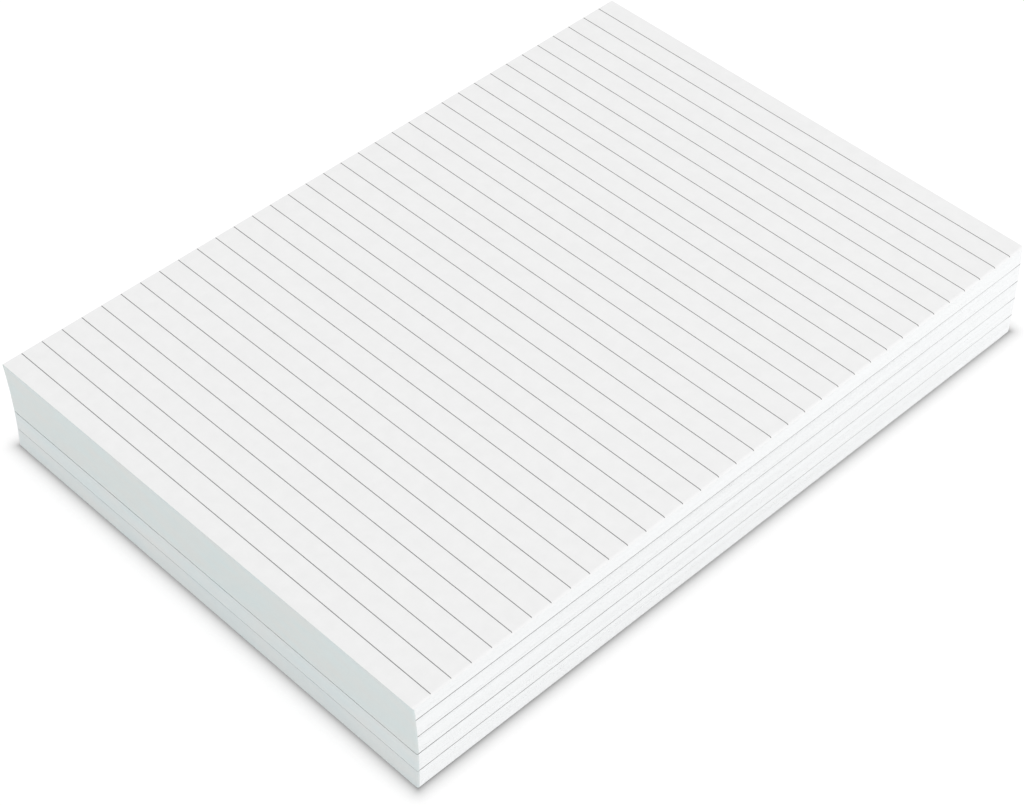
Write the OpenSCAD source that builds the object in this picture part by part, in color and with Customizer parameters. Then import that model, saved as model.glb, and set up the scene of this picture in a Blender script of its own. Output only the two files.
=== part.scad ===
// Ruled writing pad: a thick block of leaves in sections, each on its own backing card,
// bound along the head with a brushed skin of padding glue.
// The origin is the centre of the underside. +X runs across the leaf, +Y from the bound
// head to the free tail, and +Z up through the leaves. Lengths are in millimetres.

/* [Leaves] */
// Width of a leaf
leaf_w = 210; // [105:1:297]
// Length of a leaf, from the bound head to the free tail
leaf_l = 297; // [148:1:420]
// Thickness of one leaf
leaf_t = 0.1; // [0.06:0.01:0.3]
// Leaves in one section
section_leaves = 80; // [20:5:150]
// Radius of the leaf's two corners at the bound head, seen from above
corner_r = 0.6; // [0.4:0.2:8]
// Radius of its two corners at the free tail, which handling has rounded more
tail_r = 1; // [0.4:0.2:5]
// Radius that trimming leaves on the long edges of the uppermost leaves
edge_r = 1; // [0.2:0.1:3]
// How far the middle of the block stands back from its top and bottom at the head
bow = 0.75; // [0:0.05:4]
// How much lower the top leaf lies at the head, where the glue holds the leaves tight
head_press = 1.7; // [0:0.1:3]

/* [Sections] */
// Sections in the block
sections = 5; // [3:1:8]
// Thickness of the backing card under each section
card_t = 0.4; // [0.2:0.1:1.5]

/* [Binding] */
// Upper sections that one unbroken skin of glue holds together
joined_sections = 3; // [1:1:3]
// Thickness of the glue skin
glue_t = 0.15; // [0.1:0.05:1]
// Clearance between the skin and the heads of the leaves
glue_gap = 0.01; // [0.005:0.005:0.05]
// How far a skin laps down over the edge of its last card, which is bare below that
lap_h = 0.05; // [0.05:0.05:0.2]

/* [Ruling] */
// Distance from one ruled line to the next
line_pitch = 8.53; // [5:0.01:12]
// Least distance from the end of the leaf to its first or last line
line_margin = 7.5; // [5:0.5:40]
// Bare paper between the ends of a line and the rounded long edges
line_end = 0; // [0:0.1:40]
// Width of a ruled line
line_w = 0.3; // [0.1:0.05:1]
// Thickness of the printed ink
ink_t = 0.03; // [0.01:0.01:0.1]

/* [Hidden] */
$fn = 48;
paper_colour = "#efefef";
card_colour = "#8f908f";
glue_colour = "#d6dada";
ink_colour = "#8c8c8c";

// Heights of a section's leaves, of a section with its card, and of the whole block
leaves_h = section_leaves * leaf_t;
section_h = leaves_h + card_t;
block_h = sections * section_h;

// Slope of the top leaf, which rises from the head to the tail
top_slope = atan(head_press / leaf_l);

// The glue skins, counted from the top: the first one holds the joined sections
skins = sections - joined_sections + 1;
skin_w = leaf_w - 2 * corner_r;

// The ruling is centred on the leaf and fills what the margins leave
line_gaps = floor((leaf_l - 2 * line_margin) / line_pitch);
line_l = leaf_w - 2 * (edge_r + line_end);

// How far the leaf at height z has slid towards the tail
function slide(z) = bow * (1 - pow(2 * z / block_h - 1, 2));

// Sections are counted from the top: underside of a section's card, and top of its card
function card_z(i) = (sections - i) * section_h;
function leaves_z(i) = card_z(i) + card_t;

// Slide of a card, and of the top leaf of a section, which lies against the card above
function card_slide(i) = slide(card_z(i) + card_t / 2);
function top_slide(i) = i == 1 ? slide(block_h) : card_slide(i - 1);

// Height of a section's leaves at the head
function head_h(i) = i == 1 ? leaves_h - head_press : leaves_h;

// First and last section that a skin covers
function first_section(s) = s == 1 ? 1 : joined_sections + s - 1;
function last_section(s) = joined_sections + s - 1;

// What a rounding takes off a corner, with the centre of the rounding at the origin
module corner_waste(r) {
    difference() {
        square(2 * r);
        circle(r);
    }
}

// Outline of a leaf, with its corners rounded
module leaf_outline() {
    difference() {
        square([leaf_w, leaf_l], center = true);
        for (side = [0, 1], end = [0, 1])
            mirror([side, 0, 0])
                mirror([0, end, 0]) {
                    r = end == 0 ? tail_r : corner_r;
                    translate([leaf_w / 2 - r, leaf_l / 2 - r])
                        corner_waste(r);
                }
    }
}

// Leans a straight pile, which starts at z = 0, into its place in a section
module in_section(i) {
    foot = card_slide(i);
    lean = (top_slide(i) - foot) / leaves_h;
    multmatrix([
        [1, 0, 0, 0],
        [0, 1, lean, foot],
        [0, 0, 1, leaves_z(i)],
        [0, 0, 0, 1]
    ])
        children();
}

// Slides what starts at z = 0 along with a section's card, and lifts it to height z
module on_card(i, z) {
    translate([0, card_slide(i), z])
        children();
}

// Puts the plane z = 0 on the top leaf, with y = 0 at the middle of its length
module on_top_leaf() {
    translate([0, leaf_l / 2, leaves_h])
        rotate([top_slope, 0, 0])
            translate([0, -leaf_l / 2, 0])
                children();
}

// What lies above the top leaf, and what trimming takes off its two long edges
module trimmings() {
    linear_extrude(leaves_h)
        square(2 * [leaf_w, leaf_l], center = true);
    for (side = [0, 1])
        mirror([side, 0, 0])
            translate([leaf_w / 2 - edge_r, 0, -edge_r])
                rotate([90, 0, 0])
                    linear_extrude(2 * leaf_l, center = true)
                        corner_waste(edge_r);
}

// The leaves of one section, as one solid
module sheets(i) {
    color(paper_colour)
        in_section(i)
            if (i == 1)
                difference() {
                    linear_extrude(leaves_h + edge_r)
                        leaf_outline();
                    on_top_leaf()
                        trimmings();
                }
            else
                linear_extrude(leaves_h)
                    leaf_outline();
}

// The grey backing card under one section
module backing_card(i) {
    color(card_colour)
        on_card(i, card_z(i))
            linear_extrude(card_t)
                leaf_outline();
}

// The glue on the head of one leaf, seen from above
module glue_strip() {
    translate([-skin_w / 2, -leaf_l / 2 - glue_gap - glue_t])
        square([skin_w, glue_t]);
}

// One skin of padding glue, brushed over the head of its sections and down onto its last card
module glue_skin(s) {
    last = last_section(s);
    color(glue_colour)
        for (i = [first_section(s) : last]) {
            lap = i < last ? card_t : lap_h;
            in_section(i)
                linear_extrude(head_h(i))
                    glue_strip();
            on_card(i, leaves_z(i) - lap)
                linear_extrude(lap)
                    glue_strip();
        }
}

// The printed lines on the top leaf, each a separate strip of ink
module ruled_lines() {
    color(ink_colour)
        in_section(1)
            on_top_leaf()
                for (n = [0 : line_gaps])
                    translate([-line_l / 2, (n - line_gaps / 2) * line_pitch - line_w / 2, 0])
                        cube([line_l, line_w, ink_t]);
}

for (i = [1 : sections]) {
    sheets(i);
    backing_card(i);
}
for (i = [1 : skins])
    glue_skin(i);
ruled_lines();
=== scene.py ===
"""Looks of the ruled writing pad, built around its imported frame.

Lengths are in metres, in the pad's own frame: the origin is the centre of the underside, +X runs
across the leaf, +Y from the bound head to the free tail, and +Z up through the leaves. A size that
is easier to read in millimetres is written as a number times MM, or has a name that ends in _mm.
"""

import logging
import math
import random
from abc import ABC, abstractmethod
from dataclasses import dataclass
from enum import Enum
from typing import ClassVar

import bmesh
import bpy
from mathutils import Matrix, Quaternion, Vector, noise


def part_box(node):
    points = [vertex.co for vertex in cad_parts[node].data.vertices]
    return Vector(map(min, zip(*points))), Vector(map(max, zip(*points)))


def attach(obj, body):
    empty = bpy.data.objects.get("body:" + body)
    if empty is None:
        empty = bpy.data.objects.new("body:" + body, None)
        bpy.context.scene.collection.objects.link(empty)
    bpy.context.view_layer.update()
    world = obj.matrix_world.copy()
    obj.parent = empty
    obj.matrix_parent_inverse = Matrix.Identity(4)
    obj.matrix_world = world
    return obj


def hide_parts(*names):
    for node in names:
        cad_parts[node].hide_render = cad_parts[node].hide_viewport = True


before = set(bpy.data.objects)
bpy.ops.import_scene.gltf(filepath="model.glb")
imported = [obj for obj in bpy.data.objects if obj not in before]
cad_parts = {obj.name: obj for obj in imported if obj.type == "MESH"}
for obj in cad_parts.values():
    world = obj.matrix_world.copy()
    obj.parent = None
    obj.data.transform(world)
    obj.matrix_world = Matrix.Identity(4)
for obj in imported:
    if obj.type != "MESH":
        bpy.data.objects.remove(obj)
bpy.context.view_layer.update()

LOG = logging.getLogger("writing_pad")
MM = 0.001

# The body that every piece rides on, and the card that the pad lies on
BODY = "root"
LOWEST_CARD = "backing_card_5"

# The photograph's frame in pixels
IMAGE_WIDTH = 1024
IMAGE_HEIGHT = 806

# Sockets of the colour mix node, whose names repeat
MIX_FACTOR, MIX_A, MIX_B, MIX_RESULT = 0, 6, 7, 2

# Linear white, and the values between which most of a grain lies
WHITE = (1.0, 1.0, 1.0, 1.0)
GRAIN_LOW, GRAIN_HIGH = 0.3, 0.7

# Half the side of a grid that is one unit wide, and the corners of a face round the edge of a pile
UNIT_GRID = 0.5
SIDE_CORNERS = 4

# A closed ring of edges
Ring = list[bmesh.types.BMEdge]


class Slot(Enum):
    """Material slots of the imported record."""

    PAPER = "paper"
    CARD = "card"
    GLUE = "glue"
    INK = "ink"


class PileSide(Enum):
    """Material places of a pile of leaves or a card."""

    FACE = 0
    EDGE = 1


class Rounding(Enum):
    """What a rounding is laid on."""

    CORNERS = "VERTICES"
    EDGES = "EDGES"


def linear(colour: str) -> tuple[float, float, float, float]:
    """Turn an sRGB hex colour into linear light.

    Args:
        colour: The colour as "#rrggbb".

    Returns:
        Red, green, blue and an alpha of 1.
    """
    shares = [int(colour[i : i + 2], 16) / 255 for i in (1, 3, 5)]
    lit = [s / 12.92 if s <= 0.04045 else ((s + 0.055) / 1.055) ** 2.4 for s in shares]
    return (*lit, 1.0)


def add_node(
    tree: bpy.types.NodeTree,
    kind: str,
    inputs: dict[str | int, object] | None = None,
    **settings: object,
) -> bpy.types.Node:
    """Add one node with its settings, values and links.

    Args:
        tree: The node tree that gets the node.
        kind: Blender's name of the node's type.
        inputs: For each input, by name or place, a value or the output socket to link.
        **settings: The node's own properties.

    Returns:
        The new node.
    """
    node = tree.nodes.new(kind)
    for name, value in settings.items():
        setattr(node, name, value)
    for place, value in (inputs or {}).items():
        if isinstance(value, bpy.types.NodeSocket):
            tree.links.new(value, node.inputs[place])
        else:
            node.inputs[place].default_value = value
    return node


def grain(
    tree: bpy.types.NodeTree, cell_mm: tuple[float, float, float], detail: float
) -> bpy.types.NodeSocket:
    """Lay a cloudy grain over the piece, from its Object coordinates.

    Args:
        tree: The material's node tree.
        cell_mm: Size of the grain along X, Y and Z; a long size draws it out into streaks.
        detail: Finer octaves on top of the grain.

    Returns:
        The grain's output.
    """
    place = add_node(tree, "ShaderNodeTexCoord")
    sized = add_node(
        tree,
        "ShaderNodeMapping",
        {"Vector": place.outputs["Object"], "Scale": [1 / (size * MM) for size in cell_mm]},
    )
    cloud = add_node(
        tree, "ShaderNodeTexNoise", {"Vector": sized.outputs[0], "Scale": 1.0, "Detail": detail}
    )
    return cloud.outputs[0]


@dataclass(frozen=True)
class Finish(ABC):
    """A finish, laid as nodes on one principled shader.

    Attributes:
        name: The real material, which is the Blender material's name.
    """

    name: str

    @abstractmethod
    def lay(self, tree: bpy.types.NodeTree, shader: bpy.types.Node) -> None:
        """Lay the finish's nodes.

        Args:
            tree: The material's node tree.
            shader: Its principled shader.
        """

    def material(self) -> bpy.types.Material:
        """Give the finish as a material, which is made on the first call.

        Returns:
            The Blender material.
        """
        made = bpy.data.materials.get(self.name)
        if made is None:
            made = bpy.data.materials.new(self.name)
            made.use_nodes = True
            self.lay(made.node_tree, made.node_tree.nodes["Principled BSDF"])
        return made

    def blend(
        self, tree: bpy.types.NodeTree, factor: bpy.types.NodeSocket, low: str, high: str
    ) -> bpy.types.NodeSocket:
        """Mix two colours by a grain.

        Args:
            tree: The material's node tree.
            factor: The grain.
            low: Hex colour where the grain is low.
            high: Hex colour where it is high.

        Returns:
            The mixed colour's output.
        """
        spread = add_node(
            tree,
            "ShaderNodeMapRange",
            {"Value": factor, "From Min": GRAIN_LOW, "From Max": GRAIN_HIGH},
        )
        mixed = add_node(
            tree,
            "ShaderNodeMix",
            {MIX_FACTOR: spread.outputs[0], MIX_A: linear(low), MIX_B: linear(high)},
            data_type="RGBA",
        )
        return mixed.outputs[MIX_RESULT]


@dataclass(frozen=True)
class Relief:
    """How a grain stands out of a surface.

    Attributes:
        depth: Height of the grain.
        strength: Share of that height that the light finds.
        rough: Roughness in the lows and on the highs of the grain.
    """

    depth: float
    strength: float
    rough: tuple[float, float]

    def lay(
        self, tree: bpy.types.NodeTree, shader: bpy.types.Node, height: bpy.types.NodeSocket
    ) -> None:
        """Raise a surface by a grain, and let its roughness follow.

        Args:
            tree: The material's node tree.
            shader: Its principled shader.
            height: The grain.
        """
        raised = add_node(
            tree, "ShaderNodeBump", {"Height": height, "Strength": self.strength, "Distance": self.depth}
        )
        low, high = self.rough
        rough = add_node(tree, "ShaderNodeMapRange", {"Value": height, "To Min": low, "To Max": high})
        tree.links.new(raised.outputs[0], shader.inputs["Normal"])
        tree.links.new(rough.outputs[0], shader.inputs["Roughness"])


@dataclass(frozen=True)
class UncoatedPaper(Finish):
    """The face of an uncoated writing paper, smoothed on the paper machine.

    It gives the eye an even matt white with a faint cloudy formation and a fine tooth of fibres.

    Attributes:
        thin: Colour where the sheet is thin.
        dense: Colour where it is dense.
        specular: Level of its shine.
        floc_mm: Size of a cloud in the formation.
        tooth_mm: Size of the tooth.
        tooth: How the tooth stands out.
    """

    name: str = "uncoated writing paper"
    thin: str = "#f0f0f0"
    dense: str = "#f3f3f3"
    specular: float = 0.2
    floc_mm: float = 5.0
    # Fibres are about 0.03 mm wide, and the tooth is drawn ten times coarser to show
    tooth_mm: float = 0.3
    tooth: Relief = Relief(depth=0.004 * MM, strength=0.6, rough=(0.8, 0.95))

    def lay(self, tree: bpy.types.NodeTree, shader: bpy.types.Node) -> None:
        """Lay the formation and the tooth.

        Args:
            tree: The material's node tree.
            shader: Its principled shader.
        """
        formation = grain(tree, (self.floc_mm,) * 3, detail=3)
        tree.links.new(self.blend(tree, formation, self.thin, self.dense), shader.inputs["Base Color"])
        self.tooth.lay(tree, shader, grain(tree, (self.tooth_mm,) * 3, detail=2))
        shader.inputs["Specular IOR Level"].default_value = self.specular


@dataclass(frozen=True)
class TrimmedLeafEdges(Finish):
    """The cut edges of piled leaves, trimmed flush by a guillotine.

    They give the eye a cool white with fine streaks that run along the leaves; the streaks are painted
    shade where a leaf stands back and painted highlight where it stands out.

    Attributes:
        shaded: Colour of the leaves that stand back, a painted shade.
        bright: Colour of those that stand out, a painted highlight.
        specular: Level of their shine.
        streak_mm: Length of a streak along X and Y, and its height.
        streaks: How the streaks stand out.
    """

    name: str = "trimmed leaf edges"
    shaded: str = "#f1f2f2"
    bright: str = "#f4f5f6"
    specular: float = 0.15
    # A leaf is 0.1 mm thick, and the streaks are drawn a few leaves thick to show
    streak_mm: tuple[float, float, float] = (45.0, 45.0, 0.35)
    streaks: Relief = Relief(depth=0.01 * MM, strength=0.5, rough=(0.85, 1.0))

    def lay(self, tree: bpy.types.NodeTree, shader: bpy.types.Node) -> None:
        """Lay the streaks.

        Args:
            tree: The material's node tree.
            shader: Its principled shader.
        """
        streaks = grain(tree, self.streak_mm, detail=4)
        # Painted shade in the lows of the streaks and painted highlight on their highs, by the same grain
        # as the relief
        tree.links.new(self.blend(tree, streaks, self.shaded, self.bright), shader.inputs["Base Color"])
        self.streaks.lay(tree, shader, streaks)
        shader.inputs["Specular IOR Level"].default_value = self.specular


@dataclass(frozen=True)
class Greyboard(Finish):
    """Thin grey board of recycled pulp.

    It gives the eye a dull mid grey, flecked with lighter and darker fibre.

    Attributes:
        dark: Colour of the darker fibre.
        light: Colour of the lighter fibre.
        specular: Level of its shine.
        fleck_mm: Size of a fleck, which is longest along the board.
        pulp_mm: Size of a lump of pulp.
        pulp: How the lumps stand out.
    """

    name: str = "recycled greyboard"
    dark: str = "#828382"
    light: str = "#9c9d9b"
    specular: float = 0.15
    fleck_mm: tuple[float, float, float] = (0.9, 1.8, 0.9)
    pulp_mm: float = 0.25
    pulp: Relief = Relief(depth=0.01 * MM, strength=0.7, rough=(0.85, 1.0))

    def lay(self, tree: bpy.types.NodeTree, shader: bpy.types.Node) -> None:
        """Lay the flecks and the pulp.

        Args:
            tree: The material's node tree.
            shader: Its principled shader.
        """
        flecks = grain(tree, self.fleck_mm, detail=5)
        tree.links.new(self.blend(tree, flecks, self.dark, self.light), shader.inputs["Base Color"])
        self.pulp.lay(tree, shader, grain(tree, (self.pulp_mm,) * 3, detail=3))
        shader.inputs["Specular IOR Level"].default_value = self.specular


@dataclass(frozen=True)
class CutGreyboard(Greyboard):
    """The cut edge of the grey board, dusted with paper by the trimming of the leaves.

    It gives the eye a grey line that pales along the board, from the clamped head to the tail, and
    is rubbed bare again at the tail's corners.

    Attributes:
        dust: Colour of the paper dust.
        dusted: Share of the dust along the board, as stops of millimetres from the middle and share.
    """

    name: str = "cut greyboard"
    dust: str = "#f4f5f5"
    dusted: tuple[tuple[float, float], ...] = (
        (-149, 0.0),
        (0, 0.35),
        (142, 0.57),
        (146, 0.2),
        (150, 0.2),
    )

    def lay(self, tree: bpy.types.NodeTree, shader: bpy.types.Node) -> None:
        """Lay the board and the dust over it.

        Args:
            tree: The material's node tree.
            shader: Its principled shader.
        """
        super().lay(tree, shader)
        board = shader.inputs["Base Color"].links[0].from_socket
        place = add_node(tree, "ShaderNodeTexCoord")
        along = add_node(tree, "ShaderNodeSeparateXYZ", {"Vector": place.outputs["Object"]})
        first, last = self.dusted[0][0], self.dusted[-1][0]
        share = add_node(
            tree,
            "ShaderNodeMapRange",
            {"Value": along.outputs["Y"], "From Min": first * MM, "From Max": last * MM},
        )
        ramp = add_node(tree, "ShaderNodeValToRGB", {"Fac": share.outputs[0]})
        stops = ramp.color_ramp.elements
        for spot, _ in self.dusted[1:-1]:
            stops.new((spot - first) / (last - first))
        for stop, (_, amount) in zip(stops, self.dusted):
            stop.color = (amount, amount, amount, 1.0)
        dusty = add_node(
            tree,
            "ShaderNodeMix",
            {MIX_FACTOR: ramp.outputs["Color"], MIX_A: board, MIX_B: linear(self.dust)},
            data_type="RGBA",
        )
        tree.links.new(dusty.outputs[MIX_RESULT], shader.inputs["Base Color"])


@dataclass(frozen=True)
class PaddingGlue(Finish):
    """Padding compound, a PVA glue that is brushed on and dries to a skin.

    It gives the eye a cool, slightly cloudy satin with faint strokes of the brush along the head.

    Attributes:
        thin: Colour where the skin is thin.
        thick: Colour where it is thick.
        ior: Its index of refraction.
        specular: Level of its shine.
        cloud_mm: Size of a cloud.
        stroke_mm: Length of a brush stroke along X and Y, and its height.
        strokes: How the strokes stand out.
    """

    name: str = "dried padding glue"
    thin: str = "#d4dede"
    thick: str = "#d9dcda"
    ior: float = 1.46
    specular: float = 0.35
    cloud_mm: tuple[float, float, float] = (18.0, 18.0, 6.0)
    stroke_mm: tuple[float, float, float] = (60.0, 60.0, 0.9)
    strokes: Relief = Relief(depth=0.02 * MM, strength=0.6, rough=(0.45, 0.65))

    def lay(self, tree: bpy.types.NodeTree, shader: bpy.types.Node) -> None:
        """Lay the clouds and the brush strokes.

        Args:
            tree: The material's node tree.
            shader: Its principled shader.
        """
        clouds = grain(tree, self.cloud_mm, detail=3)
        tree.links.new(self.blend(tree, clouds, self.thin, self.thick), shader.inputs["Base Color"])
        self.strokes.lay(tree, shader, grain(tree, self.stroke_mm, detail=3))
        shader.inputs["IOR"].default_value = self.ior
        shader.inputs["Specular IOR Level"].default_value = self.specular


@dataclass(frozen=True)
class RulingInk(Finish):
    """Grey ruling ink, printed wet on the paper and soaked in.

    It gives the eye a matt line whose density wavers a little along its length.

    Attributes:
        full: Colour where the ink is full.
        weak: Colour where it is weak.
        specular: Level of its shine.
        run_mm: Size of a run of one density, along the line and across it.
        rough: Roughness of the full ink and of the weak.
    """

    name: str = "grey ruling ink"
    full: str = "#828282"
    weak: str = "#949494"
    specular: float = 0.2
    run_mm: tuple[float, float, float] = (12.0, 0.5, 0.5)
    rough: tuple[float, float] = (0.75, 0.9)

    def lay(self, tree: bpy.types.NodeTree, shader: bpy.types.Node) -> None:
        """Lay the wavering density.

        Args:
            tree: The material's node tree.
            shader: Its principled shader.
        """
        runs = grain(tree, self.run_mm, detail=4)
        low, high = self.rough
        rough = add_node(tree, "ShaderNodeMapRange", {"Value": runs, "To Min": low, "To Max": high})
        tree.links.new(self.blend(tree, runs, self.full, self.weak), shader.inputs["Base Color"])
        tree.links.new(rough.outputs[0], shader.inputs["Roughness"])
        shader.inputs["Specular IOR Level"].default_value = self.specular


def background_rays(tree: bpy.types.NodeTree) -> bpy.types.NodeSocket:
    """Pick out the rays that see the background, straight or in a gloss or glass.

    Args:
        tree: The node tree of the floor or the world.

    Returns:
        An output that is 1 for such a ray and 0 for light.
    """
    path = add_node(tree, "ShaderNodeLightPath")
    seen = path.outputs["Is Camera Ray"]
    for other in ("Is Glossy Ray", "Is Transmission Ray"):
        either = add_node(
            tree, "ShaderNodeMath", {0: seen, 1: path.outputs[other]}, operation="MAXIMUM"
        )
        seen = either.outputs[0]
    return seen


@dataclass(frozen=True)
class StudioSweep(Finish):
    """White paper sweep that the pad lies on.

    Light falls on it as on any paper, so it keeps the shadow, and the camera sees part of that light
    and a plain white, so that away from the pad it is white. The white sides of the pad throw so much
    light on it that the shadow in the crease where they meet is deepened, for the camera alone.

    Attributes:
        albedo: Share of the light that it throws back.
        shown: Share of that light that the camera sees.
        lift: White that the camera sees besides.
        footprint: Half the size of what lies on it, with its middle over the origin.
        crease_depth: Share that the crease's shadow takes away at the pad.
        crease_fade: Distance from the pad over which that shadow fades to about a third.
    """

    name: str = "white paper sweep"
    albedo: float = 0.98
    shown: float = 0.25
    lift: float = 0.82
    footprint: tuple[float, ...] = (0.0, 0.0, 0.0)
    crease_depth: float = 0.62
    crease_fade: float = 2.4 * MM

    def lay(self, tree: bpy.types.NodeTree, shader: bpy.types.Node) -> None:
        """Lay the sweep's white, the crease's shadow and the lift that only the camera sees.

        Args:
            tree: The material's node tree.
            shader: Its principled shader.
        """
        seen = background_rays(tree)
        kept = self._kept(tree)
        shown = add_node(
            tree, "ShaderNodeMath", {0: kept, 1: self.albedo * self.shown}, operation="MULTIPLY"
        )
        lit = add_node(
            tree, "ShaderNodeMapRange", {"Value": seen, "To Min": self.albedo, "To Max": shown.outputs[0]}
        )
        lift = add_node(tree, "ShaderNodeMath", {0: kept, 1: self.lift}, operation="MULTIPLY")
        lifted = add_node(tree, "ShaderNodeMath", {0: lift.outputs[0], 1: seen}, operation="MULTIPLY")
        tree.links.new(lit.outputs[0], shader.inputs["Base Color"])
        tree.links.new(lifted.outputs[0], shader.inputs["Emission Strength"])
        shader.inputs["Emission Color"].default_value = WHITE
        shader.inputs["Roughness"].default_value = 1.0
        shader.inputs["Specular IOR Level"].default_value = 0.0

    def _kept(self, tree: bpy.types.NodeTree) -> bpy.types.NodeSocket:
        """Find the share of the white that the crease's shadow leaves, by the distance from the pad.

        Args:
            tree: The material's node tree.

        Returns:
            The share's output.
        """
        place = add_node(tree, "ShaderNodeTexCoord")
        aside = add_node(
            tree, "ShaderNodeVectorMath", {0: place.outputs["Object"]}, operation="ABSOLUTE"
        )
        past = add_node(
            tree, "ShaderNodeVectorMath", {0: aside.outputs[0], 1: self.footprint}, operation="SUBTRACT"
        )
        out = add_node(
            tree, "ShaderNodeVectorMath", {0: past.outputs[0], 1: (0, 0, 0)}, operation="MAXIMUM"
        )
        away = add_node(tree, "ShaderNodeVectorMath", {0: out.outputs[0]}, operation="LENGTH")
        fades = add_node(
            tree,
            "ShaderNodeMath",
            {0: away.outputs["Value"], 1: -1 / self.crease_fade},
            operation="MULTIPLY",
        )
        crease = add_node(tree, "ShaderNodeMath", {0: fades.outputs[0]}, operation="EXPONENT")
        kept = add_node(
            tree,
            "ShaderNodeMapRange",
            {"Value": crease.outputs[0], "To Min": 1.0, "To Max": 1 - self.crease_depth},
        )
        return kept.outputs[0]


def middle(node: str) -> Vector:
    """Give the centre of a CAD node's box."""
    low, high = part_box(node)
    return (low + high) / 2


def size_of(node: str) -> Vector:
    """Give the size of a CAD node's box."""
    low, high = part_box(node)
    return high - low


def raise_ring(bm: bmesh.types.BMesh, ring: Ring, step: Vector) -> Ring:
    """Extrude a ring of edges.

    Args:
        bm: The mesh.
        ring: The closed ring of edges.
        step: How far the new ring lies from the old one.

    Returns:
        The edges of the new ring.
    """
    made = bmesh.ops.extrude_edge_only(bm, edges=ring)["geom"]
    bmesh.ops.translate(bm, verts=[g for g in made if isinstance(g, bmesh.types.BMVert)], vec=step)
    return [g for g in made if isinstance(g, bmesh.types.BMEdge)]


def ring_points(ring: Ring) -> list[bmesh.types.BMVert]:
    """Give the vertices of a ring of edges, each once."""
    return list(dict.fromkeys(vert for edge in ring for vert in edge.verts))


def soften(
    bm: bmesh.types.BMesh,
    geom: list[bmesh.types.BMVert] | Ring,
    radius: float,
    steps: int,
    kind: Rounding,
) -> None:
    """Round corners or edges of a mesh.

    Args:
        bm: The mesh.
        geom: The vertices of the corners, or the edges.
        radius: How far the rounding reaches.
        steps: Flats that draw it.
        kind: What it is laid on.
    """
    bmesh.ops.bevel(
        bm,
        geom=geom,
        offset=radius,
        offset_type="OFFSET",
        segments=steps,
        profile=0.5,
        affect=kind.value,
        material=-1,
    )


def mark_sides(bm: bmesh.types.BMesh) -> None:
    """Give the faces of a pile or card their material places.

    Args:
        bm: The mesh, whose top and bottom have more corners than the faces round its edge.
    """
    for face in bm.faces:
        side = PileSide.FACE if len(face.verts) > SIDE_CORNERS else PileSide.EDGE
        face.material_index = side.value


def finished(bm: bmesh.types.BMesh, name: str) -> bpy.types.Object:
    """Make a mesh an object at the origin, with its faces outwards.

    Args:
        bm: The mesh, which is used up.
        name: The object's name.

    Returns:
        The new object.
    """
    bmesh.ops.recalc_face_normals(bm, faces=bm.faces)
    if all(edge.is_manifold for edge in bm.edges) and bm.calc_volume(signed=True) < 0:
        bmesh.ops.reverse_faces(bm, faces=bm.faces)
    mesh = bpy.data.meshes.new(name)
    bm.to_mesh(mesh)
    bm.free()
    piece = bpy.data.objects.new(name, mesh)
    bpy.context.scene.collection.objects.link(piece)
    return piece


@dataclass
class Piece(ABC):
    """A sub-assembly that stands for one CAD node.

    Attributes:
        slot: The record's slot of the piece.
        node: The CAD node's name.
    """

    slot: ClassVar[Slot]
    node: str

    @abstractmethod
    def build(self) -> bpy.types.Object:
        """Model the piece.

        Returns:
            The bare object.
        """

    @abstractmethod
    def finishes(self) -> list[Finish]:
        """Give the piece's finishes, by material place."""

    def dress(self, piece: bpy.types.Object) -> None:
        """Put the finishes on the piece.

        Args:
            piece: The bare object.
        """
        for finish in self.finishes():
            piece.data.materials.append(finish.material())

    def place(self) -> None:
        """Build and dress the piece, let it ride on the pad and put it in the node's stead."""
        piece = self.build()
        self.dress(piece)
        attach(piece, BODY)
        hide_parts(self.node)
        LOG.info("%s stands for %s with %d faces", piece.name, self.node, len(piece.data.polygons))


@dataclass
class LeafOutline:
    """The outline that leaves and cards are trimmed to.

    Attributes:
        width: Across the leaf.
        length: From the head to the tail.
        head_corner: Radius of the two corners at the head.
        tail_corner: Radius of the two corners at the tail.
        corner_steps: Flats that draw a corner.
    """

    width: float
    length: float
    head_corner: float
    tail_corner: float = 1 * MM
    corner_steps: int = 8

    @classmethod
    def from_frame(cls) -> "LeafOutline":
        """Take the outline of the top backing card, whose corners the glue leaves bare."""
        card, skin = size_of("backing_card_1"), size_of("glue_skin_1")
        return cls(width=card.x, length=card.y, head_corner=(card.x - skin.x) / 2)

    def start(self) -> tuple[bmesh.types.BMesh, Ring]:
        """Start a mesh with the outline as one face, centred on the origin.

        Returns:
            The mesh and the face's edges.
        """
        bm = bmesh.new()
        bmesh.ops.create_grid(bm, x_segments=1, y_segments=1, size=UNIT_GRID)
        bmesh.ops.scale(bm, vec=(self.width, self.length, 1), verts=bm.verts)
        head = [vert for vert in bm.verts if vert.co.y < 0]
        tail = [vert for vert in bm.verts if vert.co.y > 0]
        for corners, radius in ((head, self.head_corner), (tail, self.tail_corner)):
            soften(bm, corners, radius, self.corner_steps, Rounding.CORNERS)
        return bm, bm.edges[:]


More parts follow.
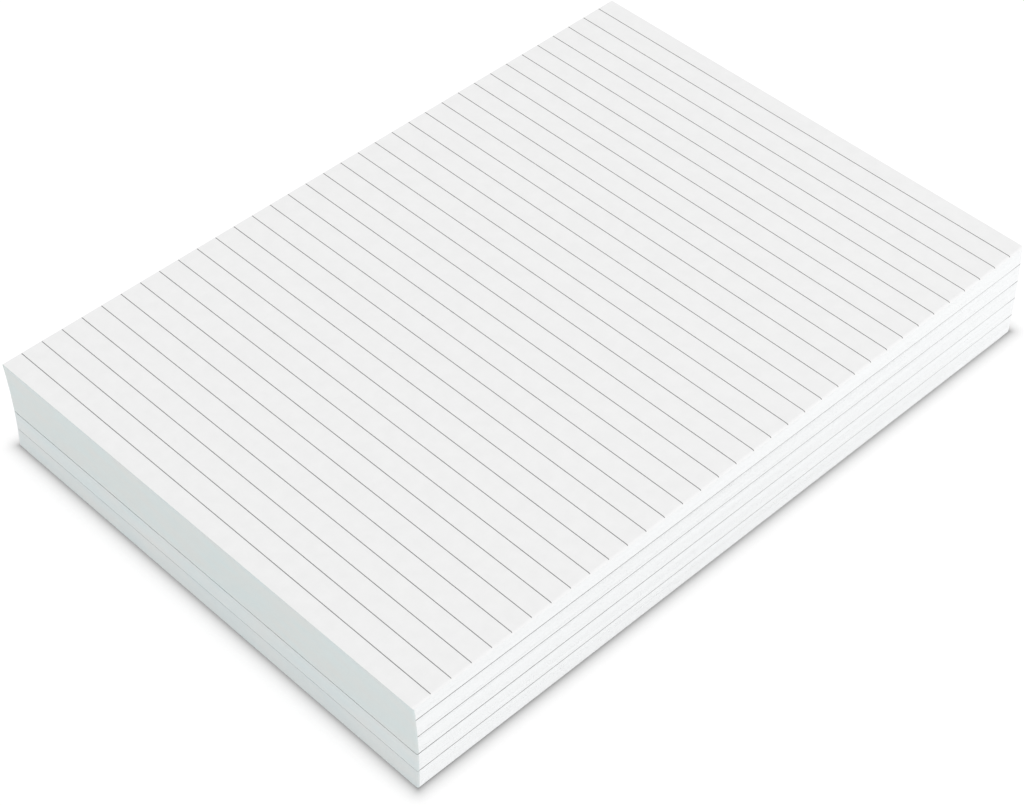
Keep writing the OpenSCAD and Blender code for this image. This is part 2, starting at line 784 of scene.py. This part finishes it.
@dataclass
class LeafPile(Piece):
    """The leaves of one section, piled one by one.

    Attributes:
        outline: The leaf's outline.
        foot: Middle of the pile's lowest leaf.
        crown: Middle of its highest leaf, before the head is pressed.
        press: How much lower its highest leaf lies at the head.
        edge: Radius of the rounded long edges at the top, or 0.
        leaf: Thickness of a leaf.
        uneven: How far trimming leaves a leaf out of line.
        twist: How far a leaf may be turned in its plane, in radians.
        edge_steps: Rings that draw the rounding.
        seed: Seed of the leaves' small slips.
    """

    slot: ClassVar[Slot] = Slot.PAPER
    outline: LeafOutline
    foot: Vector
    crown: Vector
    press: float = 0.0
    edge: float = 0.0
    leaf: float = 0.1 * MM
    uneven: float = 0.01 * MM
    twist: float = 0.00008
    edge_steps: int = 10
    seed: int = 1

    def finishes(self) -> list[Finish]:
        """Give the finishes of the leaves' faces and of their edges."""
        return [UncoatedPaper(), TrimmedLeafEdges()]

    def build(self) -> bpy.types.Object:
        """Pile the leaves, round the top pair of edges, close the pile and seat it.

        Returns:
            The bare object.
        """
        bm, ring = self.outline.start()
        ring = self._pile(bm, ring)
        mark_sides(bm)
        ring = self._round(bm, ring)
        bmesh.ops.edgeloop_fill(bm, edges=ring)
        self._seat(bm)
        return finished(bm, self.node.replace("sheets", "leaves"))

    def _pile(self, bm: bmesh.types.BMesh, ring: Ring) -> Ring:
        """Pile the leaves below the rounded edges, straight up from the origin.

        Args:
            bm: The mesh.
            ring: Edges of the lowest leaf.

        Returns:
            The uppermost ring of edges.
        """
        draw = random.Random(self.seed)
        count = round((self.crown.z - self.foot.z - self.edge) / self.leaf)
        slip = Vector()
        turn = 0.0
        for number in range(count):
            ring = raise_ring(bm, ring, Vector((0, 0, self.leaf)))
            last = number == count - 1
            next_slip = Vector() if last else Vector([draw.gauss(0, self.uneven) for _ in "xy"] + [0])
            next_turn = 0.0 if last else draw.gauss(0, self.twist)
            ring = raise_ring(bm, ring, next_slip - slip)
            bmesh.ops.rotate(
                bm,
                verts=ring_points(ring),
                cent=(0, 0, 0),
                matrix=Matrix.Rotation(next_turn - turn, 3, "Z"),
            )
            slip, turn = next_slip, next_turn
        return ring

    def _round(self, bm: bmesh.types.BMesh, ring: Ring) -> Ring:
        """Round the two long edges at the top of the pile.

        Args:
            bm: The mesh.
            ring: Edges of the ring where the rounding starts.

        Returns:
            The uppermost ring of edges.
        """
        if not self.edge:
            return ring
        risen = 0.0
        for step in range(1, self.edge_steps + 1):
            angle = math.radians(90) * step / self.edge_steps
            rise = self.edge * math.sin(angle) - risen
            ring = raise_ring(bm, ring, Vector((0, 0, rise)))
            risen += rise
            half = self.outline.width / 2 - self.edge * (1 - math.cos(angle))
            for vert in ring_points(ring):
                vert.co.x = max(-half, min(half, vert.co.x))
            self._cover(ring)
        return ring

    def _cover(self, ring: Ring) -> None:
        """Smooth the faces below a ring, and let the top leaf's face cover those on the long sides.

        Args:
            ring: The uppermost ring of edges.
        """
        for edge in ring:
            run = edge.verts[1].co - edge.verts[0].co
            side = PileSide.FACE if abs(run.y) > abs(run.x) else PileSide.EDGE
            for face in edge.link_faces:
                face.smooth = True
                face.material_index = side.value

    def _seat(self, bm: bmesh.types.BMesh) -> None:
        """Press the straight pile tight at the head, and lean it from its foot to its crown.

        Args:
            bm: The mesh.
        """
        height = self.crown.z - self.foot.z
        lean = (self.crown - self.foot) / height
        for vert in bm.verts:
            to_head = 0.5 - vert.co.y / self.outline.length
            rise = vert.co.z * (1 - self.press / height * to_head)
            vert.co = self.foot + Vector((vert.co.x, vert.co.y, 0)) + lean * rise


@dataclass
class BackingCard(Piece):
    """The grey card under a section.

    Attributes:
        outline: The card's outline.
        centre: Middle of its underside.
        thickness: Its thickness.
        arris: Width of its softened edges.
        arris_steps: Flats that draw them.
    """

    slot: ClassVar[Slot] = Slot.CARD
    outline: LeafOutline
    centre: Vector
    thickness: float
    arris: float = 0.06 * MM
    arris_steps: int = 2

    def finishes(self) -> list[Finish]:
        """Give the finishes of the card's faces and of its edge."""
        return [Greyboard(), CutGreyboard()]

    def build(self) -> bpy.types.Object:
        """Raise the outline to a card and soften its edges.

        Returns:
            The bare object.
        """
        bm, rim = self.outline.start()
        top = raise_ring(bm, rim, Vector((0, 0, self.thickness)))
        bmesh.ops.edgeloop_fill(bm, edges=top)
        mark_sides(bm)
        bmesh.ops.translate(bm, vec=self.centre, verts=bm.verts)
        soften(bm, rim + top, self.arris, self.arris_steps, Rounding.EDGES)
        return finished(bm, self.node.replace("backing_", "grey_"))


@dataclass
class GlueSkin(Piece):
    """A skin of padding glue on the head of one or more sections, which turns the head's corners.

    Attributes:
        knots: Points of the head that it covers, from the lowest up, in the middle of the leaf.
        outline: Outline of the leaves behind it.
        edge: Radius of the rounded long edges of the leaves at its top, or 0.
        thickness: Its mean thickness.
        gap: Clearance behind it.
        finish: Its finish.
        turn: How far it runs round a corner, in degrees.
        turn_steps: Flats that draw that stretch.
        ripple: How far brush strokes stand out or in.
        stroke: Length and height of a stroke.
        cell: Length and height of a cell of its mesh.
        rim: Radius of its soft rim.
        rim_steps: Flats that draw the rim.
        rim_angle: Turn between two faces, in degrees, past which their edge is on the rim.
    """

    slot: ClassVar[Slot] = Slot.GLUE
    knots: list[Vector]
    outline: LeafOutline
    edge: float
    thickness: float
    gap: float
    finish: PaddingGlue
    turn: float = 80.0
    turn_steps: int = 8
    ripple: float = 0.02 * MM
    stroke: tuple[float, float] = (35 * MM, 1.6 * MM)
    cell: tuple[float, float] = (2 * MM, 0.4 * MM)
    rim: float = 0.06 * MM
    rim_steps: int = 2
    rim_angle: float = 45.0

    def finishes(self) -> list[Finish]:
        """Give the skin's one finish."""
        return [self.finish]

    @property
    def straight(self) -> float:
        """Half the width of the head between its rounded corners."""
        return self.outline.width / 2 - self.outline.head_corner

    def head(self, height: float) -> Vector:
        """Find the middle of the head at a height.

        Args:
            height: Height above the underside.

        Returns:
            The point on the line through the knots.
        """
        for low, high in zip(self.knots, self.knots[1:]):
            if height <= high.z:
                break
        share = (height - low.z) / (high.z - low.z)
        return low.lerp(high, share)

    def build(self) -> bpy.types.Object:
        """Spread the skin over the head, thicken it, ripple its face and soften its rim.

        Returns:
            The bare object.
        """
        bm = bmesh.new()
        columns = round(2 * self.straight / self.cell[0])
        rows = round((self.knots[-1].z - self.knots[0].z) / self.cell[1])
        across = columns + 2 * self.turn_steps
        bmesh.ops.create_grid(bm, x_segments=across, y_segments=rows, size=UNIT_GRID)
        bmesh.ops.scale(bm, vec=(across, 1, 1), verts=bm.verts)
        for vert in bm.verts:
            vert.co = self._lay(vert.co.x, columns / 2, vert.co.y + UNIT_GRID)
        made = bmesh.ops.extrude_face_region(bm, geom=bm.faces[:])["geom"]
        front = [g for g in made if isinstance(g, bmesh.types.BMVert)]
        for vert in front:
            stroke = Vector((vert.co.x / self.stroke[0], 0, vert.co.z / self.stroke[1]))
            vert.co += self._outward(vert.co.x) * (self.thickness - self.ripple * noise.noise(stroke))
        in_front, sharp = set(front), math.radians(self.rim_angle)
        rim = [e for e in bm.edges if in_front.issuperset(e.verts) and e.calc_face_angle(0) > sharp]
        soften(bm, rim, self.rim, self.rim_steps, Rounding.EDGES)
        for face in bm.faces:
            face.smooth = True
        return finished(bm, self.node.replace("skin", "coat"))

    def _lay(self, column: float, last: float, share: float) -> Vector:
        """Lay a point of the flat mesh on the head, or round its corner.

        Args:
            column: The point's column, counted from the middle.
            last: The last column on the straight part of the head.
            share: How far up the skin the point lies, from 0 to 1.

        Returns:
            The point on the skin's back.
        """
        radius = self.outline.head_corner + self.gap
        angle = math.radians(self.turn) * max(0.0, abs(column) - last) / self.turn_steps
        x = self.straight * min(1.0, abs(column) / last) + radius * math.sin(angle)
        past = max(0.0, x - self.outline.width / 2 + self.edge)
        drop = self.edge - math.sqrt(max(0.0, self.edge**2 - past**2))
        foot, top = self.knots[0].z, self.knots[-1].z - drop
        back = self.outline.head_corner - radius * math.cos(angle)
        return self.head(foot + (top - foot) * share) + Vector((math.copysign(x, column), back, 0))

    def _outward(self, x: float) -> Vector:
        """Find which way the skin's back faces.

        Args:
            x: Place on the back, across the head.

        Returns:
            The level direction away from the leaves.
        """
        past = max(0.0, abs(x) - self.straight) / (self.outline.head_corner + self.gap)
        return Vector((math.copysign(past, x), -math.sqrt(max(0.0, 1 - past**2)), 0))


@dataclass
class Ruling(Piece):
    """The printed lines of the top leaf.

    They were printed before the pad was trimmed, so they run down over the leaf's rounded edges,
    further on the right than on the left.

    Attributes:
        half_width: From the middle of the leaf to its long edges.
        edge: Radius of the rounded long edges.
        pitch: From one line to the next.
        line: Width of a line.
        ink: Thickness of the ink.
        falls: How far round the left and the right edge a line runs, in degrees.
        fall_steps: Flats that draw such a stretch.
    """

    slot: ClassVar[Slot] = Slot.INK
    half_width: float
    edge: float
    pitch: float = 8.53 * MM
    line: float = 0.3 * MM
    ink: float = 0.03 * MM
    falls: tuple[float, float] = (18.0, 52.0)
    fall_steps: int = 6

    def finishes(self) -> list[Finish]:
        """Give the ruling's one finish."""
        return [RulingInk()]

    def build(self) -> bpy.types.Object:
        """Print the lines one by one from the head to the tail.

        Returns:
            The bare object.
        """
        low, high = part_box(self.node)
        count = round((high.y - low.y) / self.pitch) + 1
        first = Vector((0, low.y + self.line / 2, low.z + self.ink / 2))
        last = Vector((0, high.y - self.line / 2, high.z - self.ink / 2))
        bm = bmesh.new()
        for number in range(count):
            self._print(bm, first.lerp(last, number / (count - 1)))
        return finished(bm, "ruling")

    def _print(self, bm: bmesh.types.BMesh, centre: Vector) -> None:
        """Print one line, up round the left edge, flat across the leaf and down round the right edge.

        Args:
            bm: The mesh.
            centre: Middle of the line.
        """
        flat = self.half_width - self.edge
        left, right = (centre + Vector((x, 0, -self.edge)) for x in (-flat, flat))
        made = bmesh.ops.create_grid(
            bm,
            x_segments=1,
            y_segments=1,
            size=UNIT_GRID,
            matrix=Matrix.Translation(left)
            @ Matrix.Rotation(-math.radians(self.falls[0]), 4, "Y")
            @ Matrix.Translation((0, 0, self.edge))
            @ Matrix.Rotation(math.radians(-90), 4, "Y")
            @ Matrix.Diagonal((self.ink, self.line, 1, 1)),
        )
        ring = list(dict.fromkeys(edge for vert in made["verts"] for edge in vert.link_edges))
        ring = self._turn(bm, ring, left, self.falls[0])
        ring = raise_ring(bm, ring, right - left)
        ring = self._turn(bm, ring, right, self.falls[1])
        bmesh.ops.edgeloop_fill(bm, edges=ring)

    def _turn(self, bm: bmesh.types.BMesh, ring: Ring, axis: Vector, angle: float) -> Ring:
        """Carry a line's end round a rounded edge.

        Args:
            bm: The mesh.
            ring: Edges of the line's end.
            axis: A point on the rounding's axis.
            angle: How far it is carried, in degrees.

        Returns:
            The edges of the new end.
        """
        spun = bmesh.ops.spin(
            bm,
            geom=ring_points(ring) + ring,
            cent=axis,
            axis=(0, 1, 0),
            angle=math.radians(angle),
            steps=self.fall_steps,
            use_merge=False,
            use_duplicate=False,
        )
        return [g for g in spun["geom_last"] if isinstance(g, bmesh.types.BMEdge)]


@dataclass(frozen=True)
class Coat:
    """One coat of glue, as the brush left it.

    Attributes:
        node: The CAD node of its skin.
        finish: Its finish.
        lap: How much further down its last card the brush took it, or less far where it is negative.
    """

    node: str
    finish: PaddingGlue
    lap: float


COATS = (
    Coat("glue_skin_1", PaddingGlue(), lap=-0.04 * MM),
    Coat(
        "glue_skin_2",
        PaddingGlue("dried padding glue, second coat", thin="#d6dfe0", thick="#dcdfde"),
        lap=0.1 * MM,
    ),
    Coat(
        "glue_skin_3",
        PaddingGlue("dried padding glue, third coat", thin="#d4dcdd", thick="#dadddc"),
        lap=-0.12 * MM,
    ),
)


@dataclass
class WritingPad:
    """The whole pad: sections of leaves on cards, the glue on its head and the ruling.

    Attributes:
        outline: The leaf's outline.
        sections: Number of sections, counted from the top.
        edge: Radius of the rounded long edges of the top leaves.
        press: How much lower the top leaf lies at the head.
        glue: Thickness of the glue.
        glue_gap: Clearance between the glue and the heads of the leaves.
    """

    outline: LeafOutline
    sections: int
    edge: float
    press: float
    glue: float
    glue_gap: float = 0.01 * MM

    @classmethod
    def from_frame(cls) -> "WritingPad":
        """Read the pad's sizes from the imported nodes.

        Returns:
            The pad. The ruling ends where the long edges turn down, the first skin where the head
            ends, and the last skin stands proud of the last card.
        """
        outline = LeafOutline.from_frame()
        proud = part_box(LOWEST_CARD)[0].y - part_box(COATS[-1].node)[0].y
        return cls(
            outline=outline,
            sections=sum(name.startswith("sheets_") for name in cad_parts),
            edge=(outline.width - size_of("ruled_lines").x) / 2,
            press=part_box("sheets_1")[1].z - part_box("glue_skin_1")[1].z,
            glue=proud - cls.glue_gap,
        )

    def crown(self, number: int) -> Vector:
        """Find the middle of the top of a section.

        Args:
            number: The section, counted from the top.

        Returns:
            The point, under the card above, or straight over the underside for the top leaf.
        """
        above = middle(f"backing_card_{number - 1}") if number > 1 else Vector()
        return Vector((above.x, above.y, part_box(f"sheets_{number}")[1].z))

    def foot(self, number: int) -> Vector:
        """Find the middle of the bottom of a section's leaves."""
        card = middle(f"backing_card_{number}")
        return Vector((card.x, card.y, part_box(f"sheets_{number}")[0].z))

    def build_section(self, number: int) -> None:
        """Build one section's leaves and its card.

        Args:
            number: The section, counted from the top.
        """
        on_top = number == 1
        LeafPile(
            node=f"sheets_{number}",
            outline=self.outline,
            foot=self.foot(number),
            crown=self.crown(number),
            press=self.press if on_top else 0.0,
            edge=self.edge if on_top else 0.0,
            seed=number,
        ).place()
        card = f"backing_card_{number}"
        centre = middle(card)
        centre.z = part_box(card)[0].z
        BackingCard(node=card, outline=self.outline, centre=centre, thickness=size_of(card).z).place()

    def build_skin(self, coat: Coat) -> None:
        """Build one skin of glue over the sections that it covers.

        Args:
            coat: The coat that it is.
        """
        low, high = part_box(coat.node)
        knots = []
        for number in range(self.sections, 0, -1):
            foot, crown = self.foot(number), self.crown(number)
            if low.z < foot.z < high.z:
                top = min(crown.z, high.z)
                knots += [foot, foot.lerp(crown, (top - foot.z) / (crown.z - foot.z))]
        rim = low.z - coat.lap
        if rim > knots[0].z:
            knots[0] = knots[0].lerp(knots[1], (rim - knots[0].z) / (knots[1].z - knots[0].z))
        else:
            knots.insert(0, Vector((knots[0].x, knots[0].y, rim)))
        for knot in knots:
            knot.y -= self.outline.length / 2
        GlueSkin(
            node=coat.node,
            knots=knots,
            outline=self.outline,
            edge=self.edge if high.z > self.foot(1).z else 0.0,
            thickness=self.glue,
            gap=self.glue_gap,
            finish=coat.finish,
        ).place()

    def build(self) -> None:
        """Build the pad from its sections to its ruling."""
        for number in range(1, self.sections + 1):
            self.build_section(number)
        for coat in COATS:
            self.build_skin(coat)
        Ruling(node="ruled_lines", half_width=self.outline.width / 2, edge=self.edge).place()


@dataclass
class Softbox:
    """A soft lamp beside the pad.

    Attributes:
        name: Its name.
        place: Where it stands.
        aim: The point that it lights.
        side: Length of its sides.
        strength: Light that it throws on a face there that is turned to it; 1 shows a colour as written.
    """

    name: str
    place: Vector
    aim: Vector
    side: float
    strength: float

    def build(self) -> None:
        """Stand the lamp."""
        data = bpy.data.lights.new(self.name, "AREA")
        data.size = self.side
        data.energy = self.strength * (math.pi * (self.place - self.aim).length) ** 2
        light = bpy.data.objects.new(self.name, data)
        light.location = self.place
        light.rotation_euler = (self.aim - self.place).to_track_quat("-Z", "Y").to_euler()
        bpy.context.scene.collection.objects.link(light)


@dataclass
class Studio:
    """The floor, the light and the camera.

    Attributes:
        floor_side: Length of the floor's sides.
        floor_drop: How far the floor lies below the pad, so that no two faces share a plane.
        floor_cells: Cells of the floor's mesh along a side.
        sky: Strength of the light from all round.
        eye: Where the camera stands.
        aim: The point on its axis.
        focal_px: Its focal length in pixels of the photograph.
        axis_px: The pixel of the photograph that its axis meets.
        roll: How far it is turned about its axis, in degrees.
        sensor: Width of its sensor in millimetres.
    """

    floor_side: float = 6.0
    floor_drop: float = 0.02 * MM
    floor_cells: int = 4
    sky: float = 0.97
    eye: Vector = Vector((468.5, -439.8, 635.8)) * MM
    aim: Vector = Vector((45.3, -6.0, 21.0)) * MM
    focal_px: float = 2482.1
    axis_px: tuple[float, float] = (604.5, 417.6)
    roll: float = 0.786
    sensor: float = 36.0

    def build(self) -> None:
        """Set up the studio."""
        self._floor()
        self._sky()
        Softbox(
            name="softbox",
            place=Vector((0.95, 0.35, 0.2)),
            aim=Vector((0.105, 0.0, 0.021)),
            side=0.6,
            strength=0.15,
        ).build()
        self._camera()
        bpy.context.scene.view_settings.view_transform = "Standard"

    def _floor(self) -> None:
        """Lay the sweep under the pad."""
        bm = bmesh.new()
        cells = self.floor_cells
        bmesh.ops.create_grid(bm, x_segments=cells, y_segments=cells, size=self.floor_side / 2)
        bmesh.ops.translate(bm, vec=(0, 0, -self.floor_drop), verts=bm.verts)
        floor = finished(bm, "sweep")
        sweep = StudioSweep(footprint=tuple(size_of(LOWEST_CARD) / 2))
        floor.data.materials.append(sweep.material())

    def _sky(self) -> None:
        """Light the world evenly, and show it white."""
        world = bpy.data.worlds.new("studio")
        world.use_nodes = True
        tree = world.node_tree
        tree.nodes.clear()
        light = add_node(tree, "ShaderNodeBackground", {"Color": WHITE, "Strength": self.sky})
        white = add_node(tree, "ShaderNodeBackground", {"Color": WHITE, "Strength": 1.0})
        mixed = add_node(
            tree,
            "ShaderNodeMixShader",
            {0: background_rays(tree), 1: light.outputs[0], 2: white.outputs[0]},
        )
        add_node(tree, "ShaderNodeOutputWorld", {"Surface": mixed.outputs[0]})
        bpy.context.scene.world = world

    def _camera(self) -> None:
        """Stand the camera where the photograph was taken."""
        data = bpy.data.cameras.new("camera")
        data.sensor_fit = "HORIZONTAL"
        data.sensor_width = self.sensor
        data.lens = self.focal_px / IMAGE_WIDTH * self.sensor
        data.shift_x = (IMAGE_WIDTH / 2 - self.axis_px[0]) / IMAGE_WIDTH
        data.shift_y = (self.axis_px[1] - IMAGE_HEIGHT / 2) / IMAGE_WIDTH
        camera = bpy.data.objects.new("camera", data)
        camera.location = self.eye
        level = (self.aim - self.eye).to_track_quat("-Z", "Y")
        camera.rotation_euler = (level @ Quaternion((0, 0, 1), math.radians(self.roll))).to_euler()
        bpy.context.scene.collection.objects.link(camera)
        bpy.context.scene.camera = camera


def main() -> None:
    """Build the studio and the pad in order."""
    logging.basicConfig(level=logging.INFO, format="%(name)s: %(message)s")
    Studio().build()
    WritingPad.from_frame().build()


if __name__ == "__main__":
    main()
